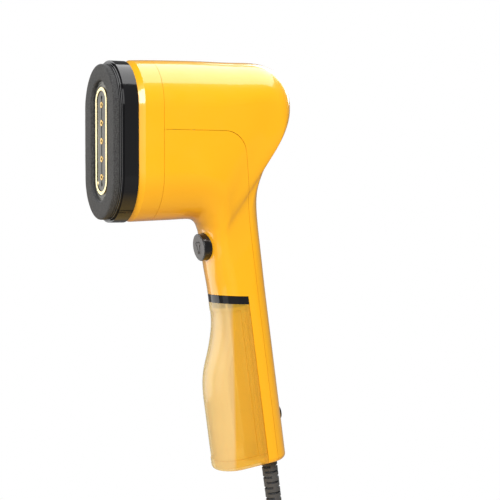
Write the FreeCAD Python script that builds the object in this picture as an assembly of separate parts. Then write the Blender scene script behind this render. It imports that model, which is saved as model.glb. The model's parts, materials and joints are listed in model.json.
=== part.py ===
import FreeCAD, Part
import math
import os

# Handheld garment steamer. Millimetres. X is the width, -Y the steaming face,
# +Z up. The origin is the middle of the hand grip.

V = FreeCAD.Vector
QUARTER = 0.5523      # Bezier handle that draws a quarter ellipse

# ---- driving dimensions ----------------------------------------------------
TILT = 8.0            # the handle leans this many degrees: its foot is further back
WALL = 2.0            # moulded shell thickness
GAP = 0.12            # half the visible joint between two shells
CLEAR = 0.3           # gap between bodies that move apart
HALF_CLEAR = CLEAR / 2

HEAD_HALF = 28.5      # half the width of the head
NOSE_FOOT = 34.7      # underside of the head at its front
NOSE_TOP = 144.7
HEAD_Z = (NOSE_FOOT + NOSE_TOP) / 2
HEAD_ROUND = 33.0     # height of the half-round ends of the head
NOSE = -86.0          # where the outer form starts
SIDE_SEAM_Z = 97.3    # level seam along the head's side
SEAM_RADIUS = 17.0    # where that seam turns down into the handle

PAD_FRONT = -102.4
PAD_BACK = -98.3
PAD_HOLE = (14.2, 40.6)     # half width and half height, as for each stadium below
FRAME_HOLE = (15.0, 41.4)
FRAME_LIP_BACK = -97.6
FRAME_BACK = -95.8
PLATE_FRONT = -100.2
PLATE = (13.9, 40.3)
PLATE_BACK = -89.0
TRIM_OUTER = (9.9, 36.3)    # gold ring let into the plate
TRIM_INNER = (7.8, 34.2)
TRIM_BACK = -98.6
BEZEL_FRONT = -95.4
BEZEL_BACK = -85.2
COLLAR_FRONT = -85.0
COLLAR_LIP = -80.3
COLLAR_SLOPE = 2.6    # how far the collar's front edge is drawn in
COLLAR_SEAM = -66.6

CHAMBER = (16.5, 44.5)
CHAMBER_ROOM = (11.5, 39.5)
CHAMBER_BACK = -70.0
COVER_FRONT = -69.0
COVER_BACK = -66.0
HEATER_X = 14.0
HEATER_TOP = HEAD_Z + 28
FUSE_Y, FUSE_Z = -63.9, HEAD_Z - 16
CARRIER = (-84.0, -79.6)    # front and back of the chamber's carrier

PUMP_Z = HEAD_Z + 30
PUMP_R = 6.0
PUMP_FRONT = -48.0
PUMP_REAR = -6.0
PISTON = (-33.0, -15.0)     # front and back
PISTON_ROOM = (-37.0, -9.0)
GROMMETS = ((-46.0, -43.0), (-12.0, -9.0))
GROMMET_R = 8.5

BOARD_Z = 58.0
BOARD_TOP = BOARD_Z + 1.6

GRIP_HALF = 18.0      # half the width of the handle
GRIP_FRONT = -20.0    # handle frame: front of the grip
GRIP_REAR = 20.5      # handle frame: back of the handle
BELLY_FRONT = -34.4   # handle frame: front of the tank's belly
SPINE_SEAM = 8.0      # handle frame: seam between front and rear shell
FOOT_Z = -139.0       # handle frame: flat underside
FOOT_ROUND = 3.5
BASE_SEAM_Z = -131.0  # handle frame: joint of the tank's base
BAND_TOP_Z = -17.0    # level top of the band under the grip
BAND_HEIGHT = 5.5
BAND_FALL = 2.5       # the band falls this many degrees towards the back

TANK_WALL = 1.8
TANK_DRAW_IN = 0.4    # the tank's wall sits this much inside the handle's outline
LIP_Z = -26.5         # handle frame: underside of the tank's proud neck
CAP_SKIRT_Z = -24.4   # handle frame: foot of the cap's part inside the neck
PANEL_HALF = 16.8     # half width across the tank's flat side panels
PANEL_BACK = -7.0
RAIL_X = 9.0
RAIL_TOP = -32.0
SPIGOT = (8.5, -9.0)  # handle frame, x and y: water outlet
SPIGOT_R = 3.0
FILLER = (-9.5, -9.0) # handle frame, x and y: filling hole
FILLER_R = 3.6

BUTTON_Z = 20.0       # handle frame
BUTTON_R = 9.6
BUTTON_FACE = -25.2
SWITCH_Z = -107.5     # handle frame
SWITCH_R = 5.6
SWITCH_FACE = 22.2
POST_HEIGHTS = (-34.0, -90.0)
SCREW_SEAT = 1.6      # handle frame: depth of the housing screws' counterbores

NOZZLE_PITCH = 12.2
NOZZLES = 5

CORD_D = 7.0
BOOT_T = 9.2          # handle frame: axis of the cord's strain relief
BOOT_END = -174.4
BOOT_SLOTS = 7
BOOT_PITCH = 3.9
CLAMP_BACK = 14.2     # handle frame: back of the cord clamp's saddle
CLAMP_SCREWS = (7.0, -126.5)
HANK_Y = 51.5         # middle of the folded cord
HANK_TOP = -262.0     # centre of its upper folds
HANK_FOOT = -337.0    # centre of its lower folds
HANK_OUTER = 29.0     # centreline radius of the outer folds
HANK_INNER = 22.0
HANK_LAYERS = 3
PLUG_AT = (8.0, 37.0)
PLUG_TOP = -385.0
PLUG_NECK = PLUG_TOP - 24
PLUG_FOOT = PLUG_TOP - 62
PLUG_HALF = (17.6, 12.5)
PIN_R = 2.4
PIN_LENGTH = 19.0
PIN_SPACING = 19.0


# ---- small helpers ---------------------------------------------------------
def turn_to_handle(shape):
    """Place a shape made in the handle frame (y back, z up along the handle)."""
    placed = shape.copy()
    placed.rotate(V(0, 0, 0), V(1, 0, 0), TILT)
    return placed


def handle_point(t, z, x=0.0):
    a = math.radians(TILT)
    return V(x, t * math.cos(a) - z * math.sin(a), t * math.sin(a) + z * math.cos(a))


def box(x0, x1, y0, y1, z0, z1):
    return Part.makeBox(x1 - x0, y1 - y0, z1 - z0, V(x0, y0, z0))


def rod(radius, start, end):
    start, end = V(*start), V(*end)
    return Part.makeCylinder(radius, (end - start).Length, start, end - start)


def pipe(outer, inner, start, end):
    return rod(outer, start, end).cut(rod(inner, start, end))


def fuse(shapes):
    whole = shapes[0]
    for piece in shapes[1:]:
        whole = whole.fuse(piece)
    try:
        return whole.removeSplitter()
    except Part.OCCError:
        return whole


def cut_all(shape, cuts):
    for cut in cuts:
        shape = shape.cut(cut)
    return shape


def bezier(*poles):
    curve = Part.BezierCurve()
    curve.setPoles(list(poles))
    return curve.toShape()


def section(inner, outer, half_in, half_out, round_in, round_out):
    """Closed outline across the body, as the poles of six edges.

    It is rounded at the inner and the outer point, with straight sides between.
    """
    axis = (outer - inner).normalize()
    low, high = inner + axis * round_in, outer - axis * round_out
    halves = []
    for side in (1, -1):
        a, b = low + V(side * half_in, 0, 0), high + V(side * half_out, 0, 0)
        along = (b - a).normalize()
        rise_in = (
            inner,
            inner + V(side * half_in * QUARTER, 0, 0),
            a - along * (round_in * QUARTER),
            a,
        )
        rise_out = (
            b,
            b + along * (round_out * QUARTER),
            outer + V(side * half_out * QUARTER, 0, 0),
            outer,
        )
        halves.append([rise_in, (a, b), rise_out])
    way_back = [tuple(reversed(edge)) for edge in reversed(halves[1])]
    return halves[0] + way_back


def outline_wire(outline):
    return Part.Wire([bezier(*poles) for poles in outline])


def skin(outlines):
    """Solid whose sides pass smoothly through every outline, capped at both ends."""
    places = [0.0]
    for last, this in zip(outlines, outlines[1:]):
        inner_step = (this[0][0] - last[0][0]).Length
        outer_step = (this[3][0] - last[3][0]).Length
        places.append(places[-1] + (inner_step + outer_step) / 2)
    faces = [Part.Face(outline_wire(outlines[0])), Part.Face(outline_wire(outlines[-1]))]
    for edge in range(len(outlines[0])):
        columns = []
        for pole in range(len(outlines[0][edge])):
            curve = Part.BSplineCurve()
            curve.interpolate(Points=[o[edge][pole] for o in outlines], Parameters=places)
            columns.append(curve)
        across = len(columns) - 1
        surface = Part.BSplineSurface()
        surface.buildFromPolesMultsKnots(
            [list(row) for row in zip(*[c.getPoles() for c in columns])],
            columns[0].getMultiplicities(),
            [across + 1, across + 1],
            columns[0].getKnots(),
            [0.0, 1.0],
            False,
            False,
            columns[0].Degree,
            across,
        )
        faces.append(surface.toShape())
    shell = Part.makeShell(faces)
    shell.sewShape()
    solid = Part.Solid(shell)
    return solid if solid.Volume > 0 else solid.reversed()


# ---- outer form ------------------------------------------------------------
def stations():
    """Cuts across the body from the nose, round the crook, down to the foot.

    Each is inner point, outer point, half widths and end rounds (inner, outer).
    """
    w, r = HEAD_HALF, HEAD_ROUND
    head = [
        (V(0, NOSE, NOSE_FOOT), V(0, NOSE, NOSE_TOP), w, w, r, r),
        (V(0, -66, 35.4), V(0, -66, 145.6), w, w, r, r),
        (V(0, -46, 36.2), V(0, -46, 146.1), w, w, r, r),
    ]
    crook = [
        (V(0, -34.0, 36.3), V(0, -24, 146.4), w, w, 31, r),
        (V(0, -28.6, 33.8), V(0, 0, 146.5), 27.6, w, 28, 32),
        (V(0, -26.0, 30.8), V(0, 20, 145.6), 26.2, w, 25, 30),
        (V(0, -24.8, 27.8), V(0, 32.0, 138.9), 24.6, 28.2, 22, 27),
        (V(0, -24.1, 24.6), V(0, 38.8, 121), 23.0, 27.4, 20, 25),
        (V(0, -23.5, 20.8), V(0, 33.7, 104), 21.4, 25.6, 18, 23),
        (V(0, -22.9, 16.6), V(0, 23.1, 88), 20.0, 23.4, 17, 22),
        (V(0, -22.3, 11.8), V(0, 17.5, 74.5), 19.0, 21.4, 16.5, 20.5),
        (V(0, -21.5, 6.0), V(0, 14.5, 61), 18.4, 19.8, 16, 19),
        (V(0, -20.6, -0.6), V(0, 14.6, 46.5), 18.0, 18.6, 16, 17.5),
    ]
    half = GRIP_HALF
    straight = [
        (handle_point(GRIP_FRONT, -10), handle_point(GRIP_REAR, 18), half - 0.2, half, 15, 16),
        (handle_point(GRIP_FRONT, -24), handle_point(GRIP_REAR, -18), half, half, 13, 16),
    ]
    belly = [(-38, -21.0), (-48, -23.8), (-57, -27.2), (-66, -31.0), (-75, -33.4)]
    tank = [
        (handle_point(t, z), handle_point(GRIP_REAR, z), half, half,
         12 + (GRIP_FRONT - t) / 5, 16)
        for z, t in belly
    ]
    foot = [
        (handle_point(BELLY_FRONT, z), handle_point(GRIP_REAR, z), half, half, 15, 16)
        for z in (-95, -120, -145)
    ]
    return head + crook + straight + tank + foot


def outward(path, i, side):
    """Unit vector off a path in the Y-Z plane; side 1 is to its left."""
    ahead = path[min(i + 1, len(path) - 1)] - path[max(i - 1, 0)]
    return V(0, -ahead.z * side, ahead.y * side).normalize()


def body_form(inset=0.0):
    """The whole outside of collar, shells and tank, drawn in evenly by inset."""
    cuts = stations()
    inner_path, outer_path = [c[0] for c in cuts], [c[1] for c in cuts]
    outlines = []
    for i, (inner, outer, half_in, half_out, round_in, round_out) in enumerate(cuts):
        outlines.append(
            section(
                inner - outward(inner_path, i, -1) * inset,
                outer - outward(outer_path, i, 1) * inset,
                half_in - inset,
                half_out - inset,
                round_in - inset,
                round_out - inset,
            )
        )
    return skin(outlines)


def head_outline(y, inset):
    """The head's outline in the plane at y, drawn in by inset."""
    back = y - NOSE
    low = V(0, y, NOSE_FOOT + 0.035 * back + inset)
    high = V(0, y, NOSE_TOP + 0.045 * back - inset)
    half, end = HEAD_HALF - inset, HEAD_ROUND - inset
    return section(low, high, half, half, end, end)


def head_slab(inset, y0, y1):
    return Part.Face(outline_wire(head_outline(y0, inset))).extrude(V(0, y1 - y0, 0))


def head_ring(outer_inset, inner_inset, y0, y1):
    """Flat ring in the head's outline."""
    hole = Part.Face(outline_wire(head_outline(y0, inner_inset)))
    hole.translate(V(0, -1, 0))
    return head_slab(outer_inset, y0, y1).cut(hole.extrude(V(0, y1 - y0 + 2, 0)))


def stadium(half_w, half_h, y0, y1):
    """Upright round-ended block centred on the head's axis."""
    rise = half_h - half_w
    ends = [rod(half_w, (0, y0, HEAD_Z + s * rise), (0, y1, HEAD_Z + s * rise)) for s in (1, -1)]
    return fuse([box(-half_w, half_w, y0, y1, HEAD_Z - rise, HEAD_Z + rise)] + ends)


def stadium_ring(outer, inner, y0, y1):
    return stadium(*outer, y0, y1).cut(stadium(*inner, y0 - 1, y1 + 1))


# ---- zones that split the outer form into its mouldings --------------------
def rear_zone(grow=0.0):
    """Everything behind the seam that runs along the head and down the handle."""
    level = SIDE_SEAM_Z - grow
    lean = math.radians(TILT)
    down = V(0, math.sin(lean), -math.cos(lean))
    on_seam = handle_point(SPINE_SEAM - grow, 0, -60)
    corner = on_seam + down * ((on_seam.z - level) / math.cos(lean))
    radius = SEAM_RADIUS + grow
    turn = math.pi / 2 - lean
    reach = radius * math.tan(turn / 2)
    start, end = corner - V(0, reach, 0), corner + down * reach
    inward = (start + end - corner * 2).normalize()
    middle = corner + inward * (radius * (1 / math.cos(turn / 2) - 1))
    foot = corner + down * 300
    corners = [foot, V(-60, 150, foot.z), V(-60, 150, 250), V(-60, -150, 250)]
    corners += [V(-60, -150, level), start]
    edges = [Part.Arc(start, middle, end).toShape(), Part.makeLine(end, foot)]
    edges += [Part.makeLine(a, b) for a, b in zip(corners, corners[1:])]
    return Part.Face(Part.Wire(edges)).extrude(V(120, 0, 0))


def under_band_top(drop):
    """Half space under the band's top plane, lowered by drop."""
    block = box(-60, 60, -100, 100, -300, 0)
    block.rotate(V(0, 0, 0), V(1, 0, 0), -BAND_FALL)
    block.translate(V(0, -18, BAND_TOP_Z - drop))
    return block


def handle_block(t0, t1, z0, z1, half=60.0):
    return turn_to_handle(box(-half, half, t0, t1, z0, z1))


def handle_rod(radius, start, end):
    return turn_to_handle(rod(radius, start, end))


def handle_pipe(outer, inner, start, end):
    return turn_to_handle(pipe(outer, inner, start, end))


def tank_zone(grow=0.0):
    """Room of the water tank: under the grip and in front of the spine."""
    return handle_block(-80, grow, -200, 60).common(under_band_top(-grow))


# ---- bent tubes ------------------------------------------------------------
def bent_line(points, radii=None):
    """Straight runs joined by tangent arcs: the wire, its length and its radii."""
    points = [V(*p) for p in points]
    edges, used, length = [], [], 0.0
    here = points[0]
    for i in range(1, len(points) - 1):
        before, corner, after = points[i - 1], points[i], points[i + 1]
        run_in, run_out = corner - before, after - corner
        turn = run_in.getAngle(run_out)
        if radii:
            radius = radii[i - 1]
        else:
            radius = 0.45 * min(run_in.Length, run_out.Length) / math.tan(turn / 2)
        reach = radius * math.tan(turn / 2)
        start = corner - run_in.normalize() * reach
        end = corner + run_out.normalize() * reach
        inward = (start + end - corner * 2).normalize()
        middle = corner + inward * (radius * (1 / math.cos(turn / 2) - 1))
        edges.append(Part.LineSegment(here, start).toShape())
        edges.append(Part.Arc(start, middle, end).toShape())
        length += (start - here).Length + radius * turn
        used.append(radius)
        here = end
    edges.append(Part.LineSegment(here, points[-1]).toShape())
    length += (points[-1] - here).Length
    return Part.Wire(edges), length, used


def bent_tube(points, radius, radii=None):
    path, length, used = bent_line(points, radii)
    start, ahead = V(*points[0]), V(*points[1]) - V(*points[0])
    ring = Part.Wire([Part.makeCircle(radius, start, ahead)])
    solid = path.makePipeShell([ring], True, False)
    ratio = solid.Volume / (math.pi * radius**2 * length)
    return solid, length, used, ratio


def hose(points, outer, inner=0.0, radii=None):
    wall = bent_tube(points, outer, radii)[0]
    return wall.cut(bent_tube(points, inner, radii)[0]) if inner else wall


def coil_spring(radius, wire, turns, start, height):
    """Helical spring along the handle frame's y axis from start."""
    helix = Part.makeHelix(height / turns, height, radius)
    ring = Part.Wire([Part.makeCircle(wire, V(radius, 0, 0), V(0, 1, 0))])
    spring = Part.Wire(helix.Edges).makePipeShell([ring], True, False)
    spring.rotate(V(0, 0, 0), V(1, 0, 0), -90)
    spring.translate(V(*start))
    return spring


# ---- mouldings -------------------------------------------------------------
class Mould:
    """The outer form and its hollow, made once and shared by the mouldings."""

    def __init__(self):
        form = body_form().cut(handle_block(-90, 90, -250, FOOT_Z))
        lean = math.radians(TILT)
        rim = []
        for edge in form.Edges:
            middle = edge.CenterOfMass
            height = middle.z * math.cos(lean) - middle.y * math.sin(lean)
            if abs(height - FOOT_Z) < 0.05:
                rim.append(edge)
        self.outer = form.makeFillet(FOOT_ROUND, rim)
        self.hollow = body_form(WALL).cut(handle_block(-90, 90, -250, FOOT_Z + WALL))
        self.tank_form = body_form(TANK_DRAW_IN)
        self.tank_room = body_form(TANK_DRAW_IN + TANK_WALL)


def front_collar(mould):
    length, slant = COLLAR_SEAM - GAP - COLLAR_FRONT, COLLAR_LIP - COLLAR_FRONT
    taper = skin([
        head_outline(COLLAR_FRONT, COLLAR_SLOPE),
        head_outline(COLLAR_FRONT + length, COLLAR_SLOPE * (1 - length / slant)),
    ])
    bore = mould.hollow.common(box(-60, 60, COLLAR_LIP, 0, 0, 200))
    throat = head_slab(COLLAR_SLOPE + 2.2, COLLAR_FRONT - 1, COLLAR_LIP + 0.5)
    ring = mould.outer.common(taper).cut(bore).cut(throat)
    post_front, post_back = COLLAR_LIP + 0.8, COLLAR_SEAM - 1
    inside = head_slab(WALL / 2, post_front, post_back)
    posts = []
    for x, z in carrier_screw_places():
        side = math.copysign(1, x)
        x0, x1 = sorted((x + side * 1.8, x + side * 9))
        web = box(x0, x1, post_front, post_back, z - 1, z + 1).common(inside)
        posts += [pipe(2.2, 1.0, (x, post_front, z), (x, post_back, z)), web]
    return fuse([ring] + posts)


def carrier_screw_places():
    return [(x, HEAD_Z + z) for x in (-18.65, 18.65) for z in (-30, 30)]


def behind_collar(shape):
    return shape.common(box(-60, 60, COLLAR_SEAM + GAP, 100, -200, 200))


def boot_room():
    return handle_rod(5.9, (0, BOOT_T, -150), (0, BOOT_T, -130))


def rear_shell(mould):
    body = behind_collar(mould.outer.cut(mould.hollow).common(rear_zone(-GAP)))
    posts = [
        handle_pipe(3.4, 1.2, (0, SPINE_SEAM + GAP, z), (0, GRIP_REAR - 1, z))
        for z in POST_HEIGHTS
    ]
    switch_hole = handle_rod(SWITCH_R + CLEAR, (0, 15, SWITCH_Z), (0, 30, SWITCH_Z))
    return fuse([body] + posts).cut(switch_hole).cut(boot_room())


def front_shell(mould):
    above_floor = under_band_top(-HALF_CLEAR - WALL)
    behind_wall = handle_block(-90, HALF_CLEAR + WALL, -250, 60).common(above_floor)
    body = mould.outer.cut(rear_zone(GAP)).cut(tank_zone(HALF_CLEAR))
    body = behind_collar(body.cut(mould.hollow.cut(behind_wall)))
    rails = [
        handle_block(-0.8, HALF_CLEAR + 1, BASE_SEAM_Z, RAIL_TOP).common(
            turn_to_handle(box(x - 1.3, x + 1.3, -5, 5, -200, 0))
        )
        for x in (-RAIL_X, RAIL_X)
    ]
    bosses = [
        handle_rod(3.4, (0, HALF_CLEAR + 1, z), (0, SPINE_SEAM - GAP, z)) for z in POST_HEIGHTS
    ]
    clamp_seat = turn_to_handle(box(-10, 10, HALF_CLEAR + 1, BOOT_T - 0.1, -130, -123))
    board_posts = [
        rod(2.6, (x, y, 30), (x, y, BOARD_Z)).common(mould.outer) for x, y in board_holes()
    ]
    body = fuse([body] + rails + bosses + [clamp_seat] + board_posts)
    cuts = [handle_rod(CORD_D / 2, (0, BOOT_T, -140), (0, BOOT_T, -100)), boot_room()]
    for z in POST_HEIGHTS:
        cuts.append(handle_rod(3.1, (0, -5, z), (0, SCREW_SEAT, z)))
        cuts.append(handle_rod(1.3, (0, -5, z), (0, SPINE_SEAM + 1, z)))
    for x in (-7, 7):
        cuts.append(handle_rod(1.0, (x, 4, -126.5), (x, 20, -126.5)))
    for x, y in board_holes():
        cuts.append(rod(1.0, (x, y, BOARD_Z - 8), (x, y, BOARD_Z + 1)))
    cuts.append(handle_rod(BUTTON_R + CLEAR, (0, -40, BUTTON_Z), (0, -10, BUTTON_Z)))
    cuts.append(handle_rod(SPIGOT_R + CLEAR, (*SPIGOT, -30), (*SPIGOT, -5)))
    cuts.append(handle_rod(FILLER_R + 0.6, (*FILLER, -30), (*FILLER, -5)))
    return cut_all(body, cuts)


# ---- water tank ------------------------------------------------------------
def tank_block(form, top_drop, foot):
    """The form's share of the tank's room, from under the band to the foot."""
    block = form.common(tank_zone(-HALF_CLEAR)).common(under_band_top(top_drop))
    return block.common(handle_block(-90, 90, foot, 60))


def without_panels(block, half, back, top, foot):
    """Draw the sides in to flat panels."""
    for side in (1, -1):
        x0, x1 = sorted((side * half, side * 40))
        block = block.cut(turn_to_handle(box(x0, x1, -60, back, foot, top)))
    return block


def tank_hollow(mould):
    room = tank_block(mould.tank_room, -1, -200).common(
        handle_block(-90, -HALF_CLEAR - 2.4, -200, 60)
    )
    half, back = PANEL_HALF - TANK_WALL, PANEL_BACK + TANK_WALL
    return without_panels(room, half, back, LIP_Z + 1, -200)


def rail_slots():
    """Grooves in the tank's back, open at the top so that they slide over the rails."""
    cut = [box(x - 1.7, x + 1.7, -1.4, 3, -200, 0) for x in (-RAIL_X, RAIL_X)]
    return turn_to_handle(Part.makeCompound(cut))


def tank_shell(mould):
    lip = tank_block(mould.outer, BAND_HEIGHT + 0.05, LIP_Z)
    wall = tank_block(mould.tank_form, BAND_HEIGHT + 0.05, BASE_SEAM_Z)
    wall = without_panels(wall, PANEL_HALF, PANEL_BACK, LIP_Z, BASE_SEAM_Z - 1)
    return fuse([wall, lip]).cut(tank_hollow(mould)).cut(rail_slots())


def tank_base(mould):
    base = tank_block(mould.outer, 50, FOOT_Z - 1).common(
        handle_block(-90, 90, -200, BASE_SEAM_Z - 0.05)
    )
    room = tank_hollow(mould).common(handle_block(-90, 90, FOOT_Z + TANK_WALL, 60))
    return base.cut(room).cut(rail_slots())


def tank_cap(mould):
    """Black band that closes the neck, with the outlet spigot and the filler hole."""
    band = tank_block(mould.outer, HALF_CLEAR, -60).cut(under_band_top(BAND_HEIGHT))
    skirt = tank_hollow(mould).common(under_band_top(BAND_HEIGHT - 0.5))
    skirt = skirt.common(handle_block(-90, 90, CAP_SKIRT_Z, 60))
    skirt = skirt.cut(turn_to_handle(box(-12, 12, -15, -4.5, -60, 0)))
    spigot = handle_rod(SPIGOT_R, (*SPIGOT, -22), (*SPIGOT, -8))
    stem = handle_rod(2.2, (*SPIGOT, -31), (*SPIGOT, -20))
    band = fuse([band, skirt, spigot, stem])
    band = band.cut(handle_rod(1.2, (*SPIGOT, -40), (*SPIGOT, 0)))
    return band.cut(handle_rod(FILLER_R - 0.6, (*FILLER, -40), (*FILLER, 0))).cut(rail_slots())


def fill_plug():
    """Soft stopper of the filling hole, with a rim to lift it by."""
    stem = handle_rod(FILLER_R - 0.65, (*FILLER, -21.5), (*FILLER, -15.6))
    rim = handle_rod(FILLER_R, (*FILLER, -15.9), (*FILLER, -14.7))
    return fuse([stem, rim])


def suction_tube():
    return handle_pipe(3.1, 2.2, (*SPIGOT, -127), (*SPIGOT, CAP_SKIRT_Z - 0.1))


def filter_weight():
    """Brass strainer that holds the suction tube's end at the bottom."""
    body = handle_pipe(4.4, 3.1, (*SPIGOT, -133), (*SPIGOT, -122))
    foot = handle_rod(4.4, (*SPIGOT, -135), (*SPIGOT, -133))
    slots = [
        turn_to_handle(box(SPIGOT[0] - 6, SPIGOT[0] + 6, SPIGOT[1] - 0.5, SPIGOT[1] + 0.5,
                           z, z + 1.2))
        for z in (-132, -129.5)
    ]
    return fuse([cut_all(body, slots), foot])


# ---- steaming face ---------------------------------------------------------
def steam_pad():
    """Textile ring that is pressed on the cloth."""
    return head_slab(2.2, PAD_FRONT, PAD_BACK).cut(stadium(*PAD_HOLE, -120, -90))


def pad_frame():
    """Clip-on frame under the textile ring, with a rim that enters the bezel."""
    lip = head_slab(2.9, PAD_BACK, FRAME_LIP_BACK)
    plate = head_slab(3.5, FRAME_LIP_BACK - 0.1, FRAME_BACK)
    plate = fuse([lip, plate]).cut(stadium(*FRAME_HOLE, -120, -90))
    return fuse([plate, head_ring(6.4, 7.6, FRAME_BACK, -92.3)])


def head_bezel():
    """Glossy ring round the face: a broad band with two fine steps in front."""
    steps = [
        head_ring(0.0, 6.0, BEZEL_FRONT, BEZEL_BACK),
        head_ring(1.2, 3.0, BEZEL_FRONT - 1.2, BEZEL_FRONT),
        head_ring(2.1, 3.0, BEZEL_FRONT - 2.1, BEZEL_FRONT - 1.2),
        head_ring(5.2, 6.6, BEZEL_BACK, -79.6),
    ]
    return fuse(steps)


def steam_plate():
    """Heated face plate with a fine double rim, a ring groove and a centre groove."""
    plate = fuse([
        stadium(*PLATE, PLATE_FRONT + 0.4, PLATE_BACK),
        stadium_ring(PLATE, (13.0, 39.4), PLATE_FRONT, PLATE_FRONT + 0.4),
        stadium_ring((12.3, 38.7), (11.3, 37.7), PLATE_FRONT, PLATE_FRONT + 0.4),
        stadium(7.4, 33.8, PLATE_FRONT, PLATE_FRONT + 0.4),
        head_slab(8.6, PLATE_BACK - 2.7, PLATE_BACK),
    ])
    plate = plate.cut(stadium_ring(TRIM_OUTER, TRIM_INNER, -120, TRIM_BACK))
    reach = NOZZLE_PITCH * (NOZZLES - 1) / 2
    groove = box(-0.7, 0.7, -101, PLATE_FRONT + 0.7, HEAD_Z - reach - 5, HEAD_Z + reach + 5)
    plate = plate.cut(groove)
    for z in (HEAD_Z - reach - 5, HEAD_Z + reach + 5):
        plate = plate.cut(rod(1.3, (0, -101, z), (0, PLATE_FRONT + 1.4, z)))
    for z in nozzle_heights():
        plate = plate.cut(rod(2.1, (0, -101, z), (0, -88, z)))
    return plate


def nozzle_heights():
    first = HEAD_Z - NOZZLE_PITCH * (NOZZLES - 1) / 2
    return [first + NOZZLE_PITCH * i for i in range(NOZZLES)]


def plate_trim():
    return stadium_ring(TRIM_OUTER, TRIM_INNER, PLATE_FRONT - 0.5, TRIM_BACK)


def steam_nozzles():
    """Brass bushes that let the steam out."""
    bushes = []
    for z in nozzle_heights():
        bush = rod(2.1, (0, PLATE_FRONT - 0.3, z), (0, PLATE_BACK, z))
        bushes.append(bush.cut(rod(1.0, (0, -110, z), (0, -80, z))))
    return Part.makeCompound(bushes)


# ---- steam maker -----------------------------------------------------------
def heater_path():
    x, top, foot = HEATER_X, HEATER_TOP, HEAD_Z - 42
    return [
        (-x, -60, top), (-x, -79, top), (-x, -79, foot),
        (x, -79, foot), (x, -79, top), (x, -60, top),
    ]


def heating_element():
    return bent_tube(heater_path(), 2.0, [5, 13.9, 13.9, 5])[0]


def steam_chamber():
    """Cast block with the boiling room; the heater is cast into its wall."""
    block = stadium(*CHAMBER, PLATE_BACK, CHAMBER_BACK)
    room = stadium(*CHAMBER_ROOM, PLATE_BACK + 2.5, COVER_FRONT)
    return block.cut(room).cut(heating_element())


def chamber_gasket():
    ring = stadium_ring(CHAMBER, CHAMBER_ROOM, CHAMBER_BACK, COVER_FRONT)
    ring = ring.cut(heating_element())
    return cut_all(ring, [rod(1.0, (x, -75, z), (x, -68, z)) for x, z in cover_screw_places()])


def cover_screw_places():
    sides = [(x, HEAD_Z + z) for x in (-HEATER_X, HEATER_X) for z in (-16, 12)]
    return sides + [(0, HEAD_Z - 42), (0, HEAD_Z + 42)]


def chamber_cover():
    plate = stadium(*CHAMBER, COVER_FRONT, COVER_BACK)
    nipple = rod(2.2, (0, COVER_BACK, PUMP_Z), (0, -58, PUMP_Z))
    cover = fuse([plate, nipple])
    cuts = [rod(1.0, (0, -80, PUMP_Z), (0, -50, PUMP_Z)), heating_element()]
    cuts += [rod(1.0, (x, -75, z), (x, -60, z)) for x, z in cover_screw_places()]
    return cut_all(cover, cuts)


def cover_screws():
    return Part.makeCompound([
        fuse([rod(2.0, (x, COVER_BACK, z), (x, COVER_BACK + 1.4, z)),
              rod(1.0, (x, CHAMBER_BACK, z), (x, COVER_BACK + 0.1, z))])
        for x, z in cover_screw_places()
    ])


def heater_terminals():
    z = HEATER_TOP
    return Part.makeCompound([
        fuse([rod(1.2, (x, -60, z), (x, -56, z)),
              box(x - 0.4, x + 0.4, -57, -49, z - 3.1, z + 3.1)])
        for x in (-HEATER_X, HEATER_X)
    ])


def thermostat():
    z = HEAD_Z + 6
    can = rod(8.0, (0, COVER_BACK, z), (0, -60, z))
    blades = [box(x - 2, x + 2, -60, -53, z - 0.4, z + 0.4) for x in (-4.5, 4.5)]
    return fuse([can] + blades)


def thermal_fuse():
    y, z = FUSE_Y, FUSE_Z
    return fuse([rod(2.0, (-6, y, z), (6, y, z)), rod(0.6, (-12, y, z), (12, y, z))])


def fuse_clip():
    y, z = FUSE_Y, FUSE_Z
    return box(-3, 3, COVER_BACK, y + 2.9, z - 3, z + 3).cut(rod(2.05, (-9, y, z), (9, y, z)))


def heater_carrier():
    """Heat-proof frame that holds the chamber inside the collar."""
    frame = head_slab(6.9, *CARRIER)
    frame = frame.cut(stadium(CHAMBER[0] + 0.1, CHAMBER[1] + 0.1, -100, -60))
    return cut_all(frame, [rod(1.0, (x, -90, z), (x, -70, z)) for x, z in carrier_screw_places()])


def carrier_screws():
    front = CARRIER[0]
    return Part.makeCompound([
        fuse([rod(1.9, (x, front - 1.3, z), (x, front, z)),
              rod(1.0, (x, front - 0.1, z), (x, front + 13, z))])
        for x, z in carrier_screw_places()
    ])


# ---- water pump ------------------------------------------------------------

def pump_rod(radius, y0, y1):
    return rod(radius, (0, y0, PUMP_Z), (0, y1, PUMP_Z))


def pump_body():
    tube = fuse([
        pump_rod(PUMP_R, PUMP_FRONT, PUMP_REAR), pump_rod(2.2, PUMP_FRONT - 6, PUMP_REAR + 8),
    ])
    return cut_all(tube, [pump_rod(1.0, -60, 10), pump_rod(4.1, *PISTON_ROOM)])


def pump_coil():
    return box(-12, 12, -40, -16, PUMP_Z - 12, PUMP_Z + 12).cut(pump_rod(PUMP_R, -50, 0))


def pump_piston():
    return pump_rod(4.0, *PISTON).cut(pump_rod(0.8, -60, 0))


def pump_spring():
    spring = coil_spring(3.0, 0.4, 4, (0, 0, 0), PISTON_ROOM[1] - PISTON[1] - 1.0)
    spring.translate(V(0, PISTON[1] + 0.5, PUMP_Z))
    return spring


def pump_grommets():
    return Part.makeCompound([
        pump_rod(GROMMET_R, *grommet).cut(pump_rod(PUMP_R, -60, 0)) for grommet in GROMMETS
    ])


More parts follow.
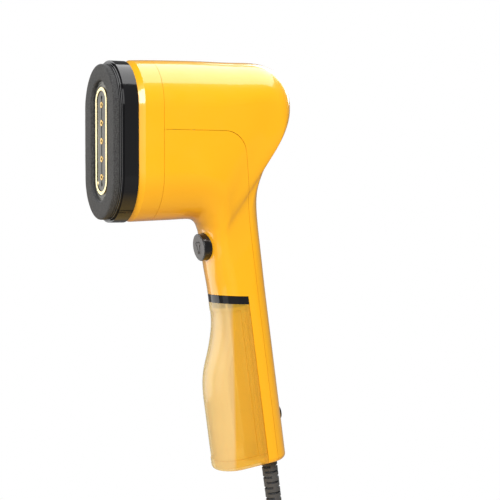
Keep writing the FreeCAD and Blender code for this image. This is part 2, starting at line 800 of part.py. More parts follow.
def pump_bracket(mould):
    """Two webs that hang the pump from the rear shell's roof."""
    webs = []
    for y0, y1 in GROMMETS:
        web = box(-11, 11, y0, y1, PUMP_Z - 12, 160).common(mould.hollow)
        webs.append(web.cut(pump_rod(GROMMET_R, -60, 0)))
    tie = box(-11, 11, GROMMETS[0][0], GROMMETS[1][1], PUMP_Z - 14.5, PUMP_Z - 12.5)
    feet = [box(-11, 11, y0, y1, PUMP_Z - 13, PUMP_Z - 11) for y0, y1 in GROMMETS]
    return fuse(webs + feet + [tie])


def steam_hose():
    return pipe(3.2, 2.2, (0, -63.5, PUMP_Z), (0, -50, PUMP_Z))


def feed_points():
    x, y = SPIGOT
    low = [handle_point(y, z, x) for z in (-1.0, 8.0)]
    rise = [handle_point(0.5, 22, 12.6), handle_point(3, 44, 12)]
    high = [V(9, 8, 78), V(3, 14, 104), V(0, 12, PUMP_Z), V(0, -4, PUMP_Z)]
    return [tuple(p) for p in low + rise + high]


def feed_hose():
    return hose(feed_points(), 2.9, 2.2)


def hose_clips():
    low = handle_pipe(3.6, 2.9, (*SPIGOT, 1.0), (*SPIGOT, 3.0))
    rings = [pipe(3.9, 3.2, (0, y, PUMP_Z), (0, y + 2, PUMP_Z)) for y in (-62.5, -53)]
    return Part.makeCompound([low] + rings)


def coupling_socket():
    """Cup above the grip's floor that takes the tank's spigot."""
    cup = handle_rod(5.2, (*SPIGOT, -13.9), (*SPIGOT, -3.0))
    nipple = handle_rod(2.2, (*SPIGOT, -3.5), (*SPIGOT, 4.0))
    cup = fuse([cup, nipple]).cut(under_band_top(-HALF_CLEAR - WALL))
    cuts = [
        handle_rod(SPIGOT_R + CLEAR, (*SPIGOT, -20), (*SPIGOT, -7.0)),
        handle_rod(1.2, (*SPIGOT, -20), (*SPIGOT, 10)),
        handle_pipe(4.4, 2.0, (*SPIGOT, -11.4), (*SPIGOT, -9.6)),
    ]
    return cut_all(cup, cuts)


def coupling_seal():
    return handle_pipe(4.4, SPIGOT_R + 0.08, (*SPIGOT, -11.4), (*SPIGOT, -9.6))


# ---- trigger ---------------------------------------------------------------
def trigger_button():
    """Round thumb button: a hollow cap with a stem and two stop tabs."""
    b = BUTTON_Z
    cap = rod(BUTTON_R, (0, BUTTON_FACE + 0.5, b), (0, -14.4, b))
    cap = cap.cut(rod(BUTTON_R - 1.6, (0, -22.6, b), (0, -10, b)))
    cap = cap.cut(rod(BUTTON_R - 1.0, (0, BUTTON_FACE, b), (0, BUTTON_FACE + 1.2, b)))
    stem = rod(2.0, (0, -23, b), (0, -9.2, b))
    tabs = box(-4, 4, -15.8, -14.4, b - 11.6, b + 11.6).cut(rod(8.4, (0, -20, b), (0, -10, b)))
    edges = [e for e in cap.Edges if abs(e.BoundBox.YMin - BUTTON_FACE - 0.5) < 0.01
             and e.BoundBox.YLength < 0.01 and e.BoundBox.XLength > 2 * BUTTON_R - 0.1]
    return turn_to_handle(fuse([cap.makeFillet(0.4, edges), stem, tabs]))


def button_face():
    """Satin disc let into the button."""
    disc = rod(BUTTON_R - 1.0, (0, BUTTON_FACE + 0.2, BUTTON_Z), (0, BUTTON_FACE + 1.2, BUTTON_Z))
    return turn_to_handle(disc)


def trigger_spring():
    return turn_to_handle(coil_spring(5.0, 0.6, 5, (0, -21.9, BUTTON_Z), 14.2))


def switch_bracket(mould):
    plate = handle_block(-7.0, -5.4, 6.5, 34).common(mould.hollow)
    keep = turn_to_handle(box(-60, 60, -30, 30, 6.5, 34))
    plate = plate.common(keep).cut(handle_rod(2.4, (0, -20, BUTTON_Z), (0, 0, BUTTON_Z)))
    return plate.cut(bent_tube(feed_points(), 3.2)[0])


def micro_switch():
    case = box(-3.4, 3.4, -5.4, 4.6, BUTTON_Z - 10, BUTTON_Z + 10)
    blades = [box(-1.6, 1.6, 4.6, 9.0, BUTTON_Z + z, BUTTON_Z + z + 0.6) for z in (-7, 5)]
    case = fuse([case] + blades)
    return turn_to_handle(case.cut(rod(1.7, (0, -6, BUTTON_Z), (0, 1.0, BUTTON_Z))))


def switch_plunger():
    return handle_rod(1.65, (0, -8.8, BUTTON_Z), (0, -2.0, BUTTON_Z))


# ---- mains side ------------------------------------------------------------
def power_button():
    """Domed push button of the mains switch."""
    z = SWITCH_Z
    button = rod(SWITCH_R, (0, 14.4, z), (0, SWITCH_FACE, z))
    stem = rod(2.0, (0, 10.4, z), (0, 15, z))
    dome = Part.makeSphere(18.0, V(0, SWITCH_FACE - 18.0, z))
    return turn_to_handle(fuse([button.common(dome), stem]))


def power_switch():
    z = SWITCH_Z
    case = box(-6.5, 6.5, 3.4, 12.8, z - 8, z + 8)
    collar = pipe(7.4, SWITCH_R + CLEAR, (0, 12.8, z), (0, 16.5, z))
    blades = [box(x - 1.5, x + 1.5, 6, 6.6, z + 8, z + 13) for x in (-4.6, 4.6)]
    bore = rod(2.3, (0, 8.8, z), (0, 13, z))
    return turn_to_handle(fuse([case, collar] + blades).cut(bore))


def strain_relief():
    """Slotted rubber boot: each slot leaves two ribs, turned a quarter each time."""
    t = BOOT_T
    body = Part.makeCone(5.5, 5.75, FOOT_Z - BOOT_END, V(0, t, BOOT_END))
    neck = rod(5.75, (0, t, FOOT_Z), (0, t, -136.8))
    flange = rod(6.9, (0, t, -136.9), (0, t, -134.5))
    boot = fuse([body, neck, flange]).cut(rod(CORD_D / 2, (0, t, -200), (0, t, -100)))
    for i in range(BOOT_SLOTS):
        z = FOOT_Z - 5.0 - BOOT_PITCH * i
        slot = pipe(8, CORD_D / 2 + 0.25, (0, t, z - 1.6), (0, t, z))
        rib = box(-8, 8, t - 1.7, t + 1.7, z - 2, z + 1)
        if i % 2:
            rib.rotate(V(0, t, 0), V(0, 0, 1), 90)
        boot = boot.cut(slot.cut(rib))
    return turn_to_handle(boot)


def cord_clamp():
    saddle = box(-10, 10, BOOT_T + 0.1, CLAMP_BACK, -130, -123)
    x, z = CLAMP_SCREWS
    cuts = [rod(CORD_D / 2, (0, BOOT_T, -140), (0, BOOT_T, -100))]
    cuts += [rod(1.0, (side * x, 0, z), (side * x, 20, z)) for side in (-1, 1)]
    return turn_to_handle(cut_all(saddle, cuts))


def inner_screws():
    """Small screws of the cord clamp and of the control board."""
    out, z = CLAMP_SCREWS
    clamp = turn_to_handle(Part.makeCompound([
        fuse([rod(2.0, (x, CLAMP_BACK, z), (x, CLAMP_BACK + 1.4, z)),
              rod(1.0, (x, 4.5, z), (x, CLAMP_BACK + 0.1, z))])
        for x in (-out, out)
    ]))
    top = BOARD_TOP
    board = [
        fuse([rod(1.9, (x, y, top), (x, y, top + 1.3)),
              rod(1.0, (x, y, top - 7.5), (x, y, top + 0.1))])
        for x, y in board_holes()
    ]
    return Part.makeCompound(clamp.Solids + board)


def housing_screws():
    return turn_to_handle(Part.makeCompound([
        fuse([rod(2.6, (0, 0.3, z), (0, SCREW_SEAT, z)),
              rod(1.2, (0, SCREW_SEAT - 0.1, z), (0, 16.0, z))])
        for z in POST_HEIGHTS
    ]))


def cord_inner():
    return handle_rod(CORD_D / 2, (0, BOOT_T, BOOT_END), (0, BOOT_T, -121))


# ---- control board ---------------------------------------------------------
def board_holes():
    return [(x, y) for x in (-15, 15) for y in (-57, -37)]


def control_board():
    board = box(-18.5, 18.5, -61, -18, BOARD_Z, BOARD_TOP)
    return cut_all(board, [rod(1.0, (x, y, 50), (x, y, 70)) for x, y in board_holes()])


def board_parts():
    top = BOARD_TOP
    relay = box(-4, 11, -54, -36, top, top + 13)
    capacitors = [rod(3.6, (-9, y, top), (-9, y, top + 11)) for y in (-50, -41)]
    triac = box(2, 12, -28, -24, top, top + 14)
    terminals = box(-15, -4, -28, -22, top, top + 8)
    return Part.makeCompound([relay, triac, terminals] + capacitors)


def wiring():
    """Leads from the cord to the switches, and on to the board and the heater."""
    def h(x, t, z):
        return tuple(handle_point(t, z, x))

    hot = HEATER_TOP
    live = [h(1.6, 9.2, -120.9), h(1.6, 9.2, -119), h(3.5, 6.3, -117.6), h(3.5, 6.3, -115.6)]
    neutral = [h(-1.6, 9.2, -120.9), h(-1.6, 9.2, -119), h(-9.8, 9.5, -117.4), h(-10, 11, -70),
               h(-10, 10, 0), h(-12, 8, 50), (-12, -8, 65), (-12, -21.9, 64)]
    switched = [h(4.6, 6.3, -94.4), h(4.8, 6.5, -90), h(8.5, 10, -80), h(9, 10, 0),
                h(5, 11, 22), h(0, 11.5, 25.3), h(0, 9.1, 25.3)]
    signal = [h(0, 9.1, 13.3), h(0, 12, 13.3), h(-6, 12.5, 24), h(-7, 12, 50), (0, 2, 70),
              (7, -15, 67), (7, -23.9, 67)]
    heater = [(HEATER_X, -48.9, hot), (HEATER_X, -46, hot), (16, -41, hot - 12),
              (15, -35, 86), (7, -26, 80), (7, -26, BOARD_TOP + 14.1)]
    heater_return = [(-HEATER_X, -48.9, hot), (-HEATER_X, -46, hot), (-16, -41, hot - 12),
                     (-15, -33, 84), (-9, -25, 75), (-9, -25, BOARD_TOP + 8.1)]
    leads = [live, neutral, switched, signal, heater, heater_return]
    return Part.makeCompound([bent_tube(points, 1.0)[0] for points in leads])


# ---- free cord -------------------------------------------------------------
def cord_exit():
    return tuple(handle_point(BOOT_T, BOOT_END))


def lead_points():
    """From the strain relief down to the first fold of the hank."""
    front = HANK_Y - CORD_D
    return [
        cord_exit(), (0, 36.0, -190), (3.5, 39.5, -208), (12, 42.8, -226),
        (22.5, front, -243), (HANK_OUTER, front, HANK_TOP),
    ]


def tail_points():
    """From the last fold of the hank down to the plug."""
    front = HANK_Y - CORD_D
    x, y = PLUG_AT
    return [
        (HANK_INNER, front, HANK_FOOT + 40), (21.9, 44.5, HANK_FOOT + 25),
        (20.0, 42.6, HANK_FOOT + 9), (15.8, 39.6, HANK_FOOT - 6.5),
        (11.1, 37.4, HANK_FOOT - 21), (x + 0.3, y, HANK_FOOT - 35), (x, y, PLUG_TOP),
    ]


def cord_tube(points, name):
    solid, length, radii, ratio = bent_tube(points, CORD_D / 2)
    shown = ", ".join(f"{r:.0f}" for r in radii)
    print(f"{name}: length {length:.1f}, radii {shown}, volume ratio {ratio:.4f}")
    return solid


def upright_loop(radius, y0, y1):
    rise = (HANK_TOP - HANK_FOOT) / 2
    middle = (HANK_TOP + HANK_FOOT) / 2
    ends = [rod(radius, (0, y0, middle + s * rise), (0, y1, middle + s * rise)) for s in (1, -1)]
    return fuse([box(-radius, radius, y0, y1, HANK_FOOT, HANK_TOP)] + ends)


def cord_hank():
    """Outer shape of the folded cord: an upright loop, two turns wide, three deep."""
    half = HANK_LAYERS * CORD_D / 2 + 0.2
    outer, inner = HANK_OUTER + CORD_D / 2, HANK_INNER - CORD_D / 2
    return upright_loop(outer, HANK_Y - half, HANK_Y + half).cut(
        upright_loop(inner, HANK_Y - half - 1, HANK_Y + half + 1)
    )


def cord_tie():
    """Strap round the hank."""
    middle = (HANK_TOP + HANK_FOOT) / 2
    half = HANK_LAYERS * CORD_D / 2 + 0.2
    wide = HANK_OUTER + CORD_D / 2

    def loop(grow):
        return box(-wide - grow, wide + grow, HANK_Y - half - grow, HANK_Y + half + grow,
                   middle - 7, middle + 7)

    strap = loop(1.4)
    corners = [e for e in strap.Edges if e.BoundBox.ZLength > 13]
    return strap.makeFillet(1.3, corners).cut(loop(0.0))


def plug_relief():
    x, y = PLUG_AT
    return Part.makeCone(6.5, 4.6, PLUG_TOP - PLUG_NECK, V(x, y, PLUG_NECK))


def plug_body():
    x, y = PLUG_AT

    def oval(z, half_x, half_y):
        ring = Part.Ellipse(V(x + half_x, y, z), V(x, y + half_y, z), V(x, y, z))
        return Part.Wire([ring.toShape()])

    shoulder = PLUG_NECK - 22
    rings = [oval(PLUG_NECK, 8, 7.5), oval(PLUG_NECK - 9, 12, 9.5), oval(shoulder, *PLUG_HALF)]
    face = Part.Face(oval(PLUG_FOOT, *PLUG_HALF)).extrude(V(0, 0, shoulder - PLUG_FOOT))
    return fuse([Part.makeLoft(rings, True, False), face])


def plug_pins():
    x, y = PLUG_AT
    return Part.makeCompound([
        rod(PIN_R, (x + s * PIN_SPACING / 2, y, PLUG_FOOT),
            (x + s * PIN_SPACING / 2, y, PLUG_FOOT - PIN_LENGTH))
        for s in (-1, 1)
    ])


# ---- the whole -------------------------------------------------------------
def parts():
    mould = Mould()
    shaped = [front_collar, rear_shell, front_shell, tank_shell, tank_base, tank_cap,
              pump_bracket, switch_bracket]
    plain = [
        fill_plug, suction_tube, filter_weight, steam_pad, pad_frame, head_bezel, steam_plate,
        plate_trim, steam_nozzles, heating_element, heater_terminals, steam_chamber,
        chamber_gasket, chamber_cover, cover_screws, thermostat, thermal_fuse, fuse_clip,
        heater_carrier, carrier_screws, pump_body, pump_coil, pump_piston, pump_spring,
        pump_grommets, steam_hose, feed_hose, hose_clips, coupling_socket, coupling_seal,
        trigger_button, button_face, trigger_spring, micro_switch, switch_plunger,
        power_button, power_switch, strain_relief, cord_clamp, inner_screws, housing_screws,
        cord_inner, control_board, board_parts, wiring, cord_hank, cord_tie,
        plug_relief, plug_body, plug_pins,
    ]
    made = {make.__name__: make(mould) for make in shaped}
    made.update({make.__name__: make() for make in plain})
    made["cord_lead"] = cord_tube(lead_points(), "cord_lead")
    made["cord_tail"] = cord_tube(tail_points(), "cord_tail")
    return made


def main():
    os.makedirs("parts", exist_ok=True)
    for name, shape in parts().items():
        if not shape.isValid() or shape.Volume <= 0:
            print("bad shape:", name, shape.Volume)
        shape.exportStep(f"parts/{name}.step")
        print(f"{name:18s} solids {len(shape.Solids)} volume {shape.Volume:.0f}")


main()
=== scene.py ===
import json
import math

import bmesh
import bpy
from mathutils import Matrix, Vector, noise


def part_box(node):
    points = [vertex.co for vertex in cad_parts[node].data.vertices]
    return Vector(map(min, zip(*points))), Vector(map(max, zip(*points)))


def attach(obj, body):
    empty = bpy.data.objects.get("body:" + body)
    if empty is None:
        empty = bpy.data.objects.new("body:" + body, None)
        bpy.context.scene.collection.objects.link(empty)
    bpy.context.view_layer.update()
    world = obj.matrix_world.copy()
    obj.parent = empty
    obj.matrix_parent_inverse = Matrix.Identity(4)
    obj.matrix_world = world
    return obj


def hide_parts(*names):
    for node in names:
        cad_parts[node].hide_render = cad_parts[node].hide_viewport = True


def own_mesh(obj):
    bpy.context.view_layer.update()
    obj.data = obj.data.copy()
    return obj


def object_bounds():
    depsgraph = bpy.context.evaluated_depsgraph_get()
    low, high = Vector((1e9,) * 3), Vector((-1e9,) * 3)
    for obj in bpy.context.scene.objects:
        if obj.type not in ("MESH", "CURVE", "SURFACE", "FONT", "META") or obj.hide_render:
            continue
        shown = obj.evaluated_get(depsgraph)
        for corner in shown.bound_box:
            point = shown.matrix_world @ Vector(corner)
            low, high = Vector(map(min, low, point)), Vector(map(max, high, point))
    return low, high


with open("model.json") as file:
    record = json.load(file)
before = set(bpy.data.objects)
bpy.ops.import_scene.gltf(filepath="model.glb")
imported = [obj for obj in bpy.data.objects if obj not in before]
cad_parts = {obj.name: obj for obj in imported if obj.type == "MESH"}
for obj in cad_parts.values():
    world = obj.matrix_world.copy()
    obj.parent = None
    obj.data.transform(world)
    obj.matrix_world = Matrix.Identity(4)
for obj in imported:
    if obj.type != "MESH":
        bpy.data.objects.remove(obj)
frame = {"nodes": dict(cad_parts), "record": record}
nodes = frame["nodes"]
cad_low, cad_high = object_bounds()
scene = bpy.context.scene

# Metres throughout: x to the side, y to the back, z up. Places called (x, t, z) are in the
# handle's own frame, in which t points to the back and z runs up along the handle.
TILT = math.radians(8)        # the handle leans back by this much towards its foot

# Camera, fitted to the photograph
VIEW_AZIMUTH, VIEW_ELEVATION = math.radians(62.2), math.radians(2.07)
CAMERA_PLACE = (0.9411, -0.4829, 0.05245)
CAMERA_LENS = 107.3           # millimetres, as is the sensor's width
CAMERA_SENSOR = 36.0

# Amber tank: what one surface lets through and its front scatters, and a painted glow on its sides
AMBER = (1.0, 0.94, 0.68)
MILKY = (1.0, 0.78, 0.40)
# Painted glow: deep amber on the sides stands in for the lit yellow wall seen through them
PAINTED_WALL_GLOW = (1.0, 0.60, 0.060)
SIDE_START = -0.0099          # t at which the sides begin, level with the grip
SIDE_LEAN = 0.1176            # and how much further forward they begin per metre down
SIDE_BLEND = 0.001

# Free cord, along the route in part.py: strain relief, hank, plug
CORD_DIAMETER = 0.007
CORD_EXIT = (0.0, 0.03338, -0.17142)
CORD_LEAD = [
    (0, 0.036, -0.190), (0.0035, 0.0395, -0.208), (0.012, 0.0428, -0.226),
    (0.0225, 0.0445, -0.243),
]
HANK_TOP, HANK_FOOT = -0.262, -0.337       # z of the centres of its folds
HANK_OUTER, HANK_INNER = 0.029, 0.022      # radii of its folds
HANK_LAYERS = (0.0445, 0.0515, 0.0585)     # y of its layers
FOLD_STEPS = 6
CORD_TAIL = [
    (HANK_INNER, 0.0445, -0.297), (0.0219, 0.0445, -0.312), (0.020, 0.0426, -0.328),
    (0.0158, 0.0396, -0.3435), (0.0111, 0.0374, -0.358), (0.0083, 0.037, -0.372),
    (0.008, 0.037, -0.385),
]

# Textile ring of the steaming face
PAD_END = 0.0308              # height of the half-elliptic ends of its outline
HOLE_HALF, HOLE_RISE = 0.0142, 0.0406      # half the width and height of its hole
HOLE_MIDDLE_Z = 0.0897
RAY_REACH, RAY_HALVINGS = 0.08, 30         # the search for the outline along a ray
PAD_SIDE_STEPS, PAD_END_STEPS = 110, 90    # sections along a side and round an end
SECTION_STEPS = 34            # points round a section
BACK_SHARE = 0.35             # share of the thickness behind the section's widest line
ACROSS_POWER, FRONT_POWER, BACK_POWER = 0.22, 0.42, 0.25    # the lower, the squarer
NAP_SCALE, NAP_HEIGHT = 900.0, 0.00007
LUMP_SCALE, LUMP_HEIGHT = 110.0, 0.00016
NAP_ROOM = 0.00015            # the ring is set back by this, to leave room for its nap

# Outline of a shirt over three wisps of steam, on the thumb button: millimetres, from the front
ICON_T, ICON_Z = -0.02502, 0.0200
ICON_RADIUS = 0.00022
SHIRT = [
    (-1.3, 4.2), (-3.5, 3.0), (-2.8, 1.2), (-1.9, 1.6), (-1.9, -1.7), (1.9, -1.7),
    (1.9, 1.6), (2.8, 1.2), (3.5, 3.0), (1.3, 4.2), (0.6, 3.4), (-0.6, 3.4),
]
WISP_PLACES = (-1.4, 0.0, 1.4)
WISP_POINTS = 7
WISP_TOP, WISP_STEP = -2.4, 0.36
WISP_SWING, WISP_TURN = 0.35, 1.1

# Two grey lines painted as highlights on the black ring's edges: (how far in from its outline, y)
BEZEL_HIGHLIGHT_LINES = ((0.0016, -0.0966), (0.0024, -0.0975))
BEZEL_HIGHLIGHT_RADIUS = 0.00018
BEZEL_END = 0.033             # height of the half-elliptic ends of the ring's outline
BEZEL_END_STEPS = 40

# Ribs on both sides of the tank, near its back
RIB_X = 0.01752
RIB_FIRST_T, RIB_PITCH, RIB_COUNT = -0.0059, 0.00115, 5
RIB_TOP, RIB_FOOT = -0.0285, -0.1300
RIB_RADIUS = 0.00028

# Floor and sky
FLOOR_GAP = 0.0005
FLOOR_RADIUS, FLOOR_SIDES = 7.0, 96
PAPER, PAPER_SHADE = (0.88, 0.88, 0.875), (0.86, 0.86, 0.855)
# Painted warm light: the paper turns orange only for light bouncing off it onto the object
PAINTED_WARM_BOUNCE = (0.95, 0.64, 0.20, 1.0)     # the paper's colour for light that bounces off it
FADE_START, FADE_END = 0.12, 0.8           # from the middle, the floor fades to white
FADED_LIGHT = 0.25                         # how much light its white part gives the object
SKY_LIGHT = 0.15                           # and how much the white background gives

HEAD_MIDDLE = (0, 0, 0.05)
LIGHTS = (
    # name, place, what it is aimed at, width, height, watts
    ("overhead", (0.05, 0.72, 1.3), (0.05, 0.72, 0), 1.6, 0.9, 16),
    ("face_side", (0.35, -1.4, 0.15), HEAD_MIDDLE, 0.8, 1.3, 2),
    ("left_wall", (-0.95, -0.95, 0.1), HEAD_MIDDLE, 1.2, 1.6, 11),
    ("camera_fill", (1.6, -0.7, 0.9), HEAD_MIDDLE, 1.0, 1.0, 42),
    ("rear_fill", (-0.9, 1.2, 0.8), HEAD_MIDDLE, 1.0, 1.0, 12),
)

# Plastics, rubber and cloth: colour, colour of the faint clouds in it, roughness, extras
MOULDED = {
    "housing_yellow": ((0.99, 0.475, 0.003), (0.98, 0.455, 0.002), 0.35, {"coat": 1.0}),
    "black_gloss": ((0.010, 0.010, 0.011), (0.008, 0.008, 0.009), 0.09, {}),
    "black_satin": ((0.020, 0.020, 0.021), (0.013, 0.013, 0.014), 0.38, {"grain": 0.00002}),
    "silicone": ((0.62, 0.60, 0.55), (0.52, 0.50, 0.46), 0.5, {}),
    "rubber": ((0.075, 0.075, 0.077), (0.055, 0.055, 0.057), 0.5, {"grain": 0.00003}),
    "white_plastic": ((0.78, 0.77, 0.74), (0.70, 0.69, 0.66), 0.35, {}),
    "button_grey": ((0.135, 0.135, 0.138), (0.11, 0.11, 0.113), 0.42, {"grain": 0.00001}),
    "cord_black": ((0.020, 0.020, 0.022), (0.013, 0.013, 0.014), 0.42, {}),
    "board_green": ((0.03, 0.20, 0.07), (0.02, 0.14, 0.05), 0.3, {}),
    "wire_blue": ((0.04, 0.14, 0.45), (0.03, 0.10, 0.35), 0.4, {}),
    "tie_textile": ((0.035, 0.035, 0.037), (0.02, 0.02, 0.021), 0.85, {}),
}
# Metals: colour, roughness, extras
METALS = {
    "brass": ((0.80, 0.52, 0.16), 0.24, {}),
    "gold_trim": ((0.98, 0.83, 0.45), 0.2, {}),
    "steel": ((0.62, 0.62, 0.63), 0.28, {}),
    "cast_aluminium": ((0.50, 0.50, 0.51), 0.55, {"grain": 1800.0}),
    "face_metal": ((0.17, 0.165, 0.15), 0.4, {"stretch": (1.0, 1.0, 0.06)}),
    "copper_winding": ((0.72, 0.32, 0.14), 0.3, {"stretch": (1.0, 12.0, 1.0), "grain": 1500.0}),
    "brass_nickel": ((0.72, 0.69, 0.62), 0.18, {}),
}


# ---- helpers ---------------------------------------------------------------
def handle_point(x, t, z):
    """The point (x, t, z) of the handle's own frame."""
    return Vector((
        x,
        t * math.cos(TILT) - z * math.sin(TILT),
        t * math.sin(TILT) + z * math.cos(TILT),
    ))


def add_object(name, data):
    made = bpy.data.objects.new(name, data)
    scene.collection.objects.link(made)
    return made


def mesh_object(name, bm, smooth):
    mesh = bpy.data.meshes.new(name)
    bmesh.ops.recalc_face_normals(bm, faces=bm.faces)
    bm.to_mesh(mesh)
    bm.free()
    for polygon in mesh.polygons:
        polygon.use_smooth = smooth
    return add_object(name, mesh)


def face_along(made, direction):
    """Turns a camera or a light to look along direction."""
    made.rotation_mode = "QUATERNION"
    made.rotation_quaternion = direction.to_track_quat("-Z", "Y")


# ---- materials -------------------------------------------------------------
class Finish:
    """A node-based material built round one Principled shader."""

    def __init__(self, name, colour, roughness, **sockets):
        self.material = bpy.data.materials.new(name)
        self.material.use_nodes = True
        self.tree = self.material.node_tree
        self.shader = self.tree.nodes["Principled BSDF"]
        self.set("Base Color", (*colour, 1.0))
        self.set("Roughness", roughness)
        for socket, value in sockets.items():
            self.set(socket, value)
        self.where = self.node("ShaderNodeTexCoord").outputs["Object"]
        self.normal = None

    def set(self, socket, value):
        self.shader.inputs[socket].default_value = value

    def node(self, kind, **properties):
        made = self.tree.nodes.new(kind)
        for key, value in properties.items():
            setattr(made, key, value)
        return made

    def link(self, output, socket):
        self.tree.links.new(output, socket)

    def noise(self, scale, detail, stretch=None, rough=0.5):
        """Noise of this many cells per metre."""
        source = self.where
        if stretch:
            mapping = self.node("ShaderNodeMapping")
            mapping.inputs["Scale"].default_value = stretch
            self.link(source, mapping.inputs["Vector"])
            source = mapping.outputs["Vector"]
        texture = self.node("ShaderNodeTexNoise")
        texture.inputs["Scale"].default_value = scale
        texture.inputs["Detail"].default_value = detail
        texture.inputs["Roughness"].default_value = rough
        self.link(source, texture.inputs["Vector"])
        return texture.outputs["Fac"]

    def cells(self, scale):
        """Distance to the nearest of this many points per metre."""
        texture = self.node("ShaderNodeTexVoronoi")
        texture.inputs["Scale"].default_value = scale
        self.link(self.where, texture.inputs["Vector"])
        return texture.outputs["Distance"]

    def ramp(self, source, *stops):
        """Colour or grey ramp; stops are (place, colour or grey)."""
        made = self.node("ShaderNodeValToRGB")
        elements = made.color_ramp.elements
        for element, (place, value) in zip(elements, stops):
            element.position = place
            element.color = (value,) * 3 + (1.0,) if isinstance(value, float) else (*value, 1.0)
        self.link(source, made.inputs["Fac"])
        return made.outputs["Color"]

    def map_range(self, source, start=0.0, end=1.0, low=0.0, high=1.0, **properties):
        """Takes the source from start..end to low..high, and holds it between them."""
        made = self.node("ShaderNodeMapRange", **properties)
        for socket, value in (("From Min", start), ("From Max", end),
                              ("To Min", low), ("To Max", high)):
            made.inputs[socket].default_value = value
        self.link(source, made.inputs["Value"])
        return made.outputs["Result"]

    def bump(self, source, height, strength):
        """Adds a bump of this height in metres over any that is there already."""
        made = self.node("ShaderNodeBump")
        made.inputs["Strength"].default_value = strength
        made.inputs["Distance"].default_value = height
        self.link(source, made.inputs["Height"])
        if self.normal:
            self.link(self.normal, made.inputs["Normal"])
        self.normal = made.outputs["Normal"]
        self.link(self.normal, self.shader.inputs["Normal"])

    def colour(self, source):
        self.link(source, self.shader.inputs["Base Color"])

    def roughness(self, source):
        self.link(source, self.shader.inputs["Roughness"])

    def surface_mix(self, factor, first, second):
        """Makes the surface a mix of two shader outputs."""
        mixed = self.node("ShaderNodeMixShader")
        for source, socket in zip((factor, first, second), mixed.inputs):
            self.link(source, socket)
        self.link(mixed.outputs["Shader"], self.tree.nodes["Material Output"].inputs["Surface"])


def moulded(name, colour, clouds, roughness, coat=0.0, grain=0.0):
    """Moulded plastic: faint clouds of colour, worn gloss and a little orange peel."""
    f = Finish(name, colour, roughness, **{"Coat Weight": coat, "Coat Roughness": 0.04})
    f.colour(f.ramp(f.noise(14.0, detail=2.0), (0.3, clouds), (0.7, colour)))
    wear = f.noise(60.0, detail=5.0, rough=0.65)
    f.roughness(f.ramp(wear, (0.35, roughness * 0.85), (0.75, roughness * 1.2)))
    f.bump(f.noise(220.0, detail=2.0), height=0.00002, strength=0.35)
    if grain:
        f.bump(f.noise(4200.0, detail=2.0), height=grain, strength=0.5)
    return f.material


def metal(name, colour, roughness, stretch=None, grain=900.0):
    """Metal with fine marks, drawn out along one direction where it is brushed."""
    f = Finish(name, colour, roughness, Metallic=1.0)
    marks = f.noise(grain, detail=4.0, stretch=stretch, rough=0.6)
    darker = tuple(c * 0.82 for c in colour)
    f.colour(f.ramp(f.noise(40.0, detail=3.0), (0.3, darker), (0.7, colour)))
    f.roughness(f.ramp(marks, (0.3, roughness * 0.75), (0.7, roughness * 1.3)))
    f.bump(marks, height=0.00001, strength=0.5)
    return f.material


def amber_plastic():
    """Translucent amber plastic: tinted and clear with a milky share; painted wall glow on its
    sides.
    """
    f = Finish("tank_amber", MILKY, 0.16, **{
        "IOR": 1.45, "Coat Weight": 1.0, "Coat Roughness": 0.06,
    })
    depth = f.node("ShaderNodeVectorMath", operation="DOT_PRODUCT")
    depth.inputs[1].default_value = handle_point(0.0, 1.0, -SIDE_LEAN)
    f.link(f.where, depth.inputs[0])
    # Past SIDE_START the base colour turns to the painted glow of the lit yellow wall behind the
    # sides
    side = f.map_range(depth.outputs["Value"], SIDE_START - SIDE_BLEND, SIDE_START + SIDE_BLEND)
    f.colour(f.ramp(side, (0.0, MILKY), (1.0, PAINTED_WALL_GLOW)))
    f.roughness(f.ramp(f.noise(80.0, detail=4.0), (0.3, 0.14), (0.8, 0.22)))
    f.bump(f.noise(120.0, detail=2.0), height=0.00002, strength=0.3)
    clear = f.node("ShaderNodeBsdfTransparent")
    clear.inputs["Color"].default_value = (*AMBER, 1.0)
    edge = f.node("ShaderNodeLayerWeight")
    edge.inputs["Blend"].default_value = 0.35
    f.surface_mix(
        f.ramp(edge.outputs["Facing"], (0.06, 0.40), (0.5, 0.52)),
        clear.outputs["BSDF"], f.shader.outputs["BSDF"],
    )
    return f.material


def pad_cloth():
    """Napped textile: fine fibres over short dark gaps."""
    f = Finish("pad_textile", (0.10, 0.10, 0.10), 0.95, **{
        "Sheen Weight": 0.12, "Sheen Roughness": 0.5,
    })
    fibre = f.noise(1300.0, detail=4.0, rough=0.75)
    f.colour(f.ramp(fibre, (0.36, (0.010, 0.010, 0.0105)), (0.64, (0.085, 0.085, 0.085))))
    f.bump(f.cells(1500.0), height=0.00025, strength=0.7)
    f.bump(fibre, height=0.0002, strength=0.8)
    return f.material


def floor_paper():
    """Pale paper that fades to plain white away from the object, and bounces painted warm light."""
    f = Finish("floor_paper", PAPER, 0.8)
    to_camera = f.node("ShaderNodeLightPath").outputs["Is Camera Ray"]
    # Light bouncing off the paper turns warm orange: painted warm light on the object's underside
    painted_bounce = f.node("ShaderNodeMixRGB")
    painted_bounce.inputs["Color1"].default_value = PAINTED_WARM_BOUNCE
    f.link(to_camera, painted_bounce.inputs["Fac"])
    shown = f.ramp(f.noise(3.0, detail=2.0), (0.3, PAPER_SHADE), (0.7, PAPER))
    f.link(shown, painted_bounce.inputs["Color2"])
    f.colour(painted_bounce.outputs["Color"])
    reach = f.node("ShaderNodeVectorMath", operation="LENGTH")
    f.link(f.where, reach.inputs[0])
    white = f.node("ShaderNodeEmission")
    f.link(f.map_range(to_camera, low=FADED_LIGHT), white.inputs["Strength"])
    f.surface_mix(
        f.map_range(reach.outputs["Value"], FADE_START, FADE_END, interpolation_type="SMOOTHSTEP"),
        f.shader.outputs["BSDF"], white.outputs["Emission"],
    )
    return f.material


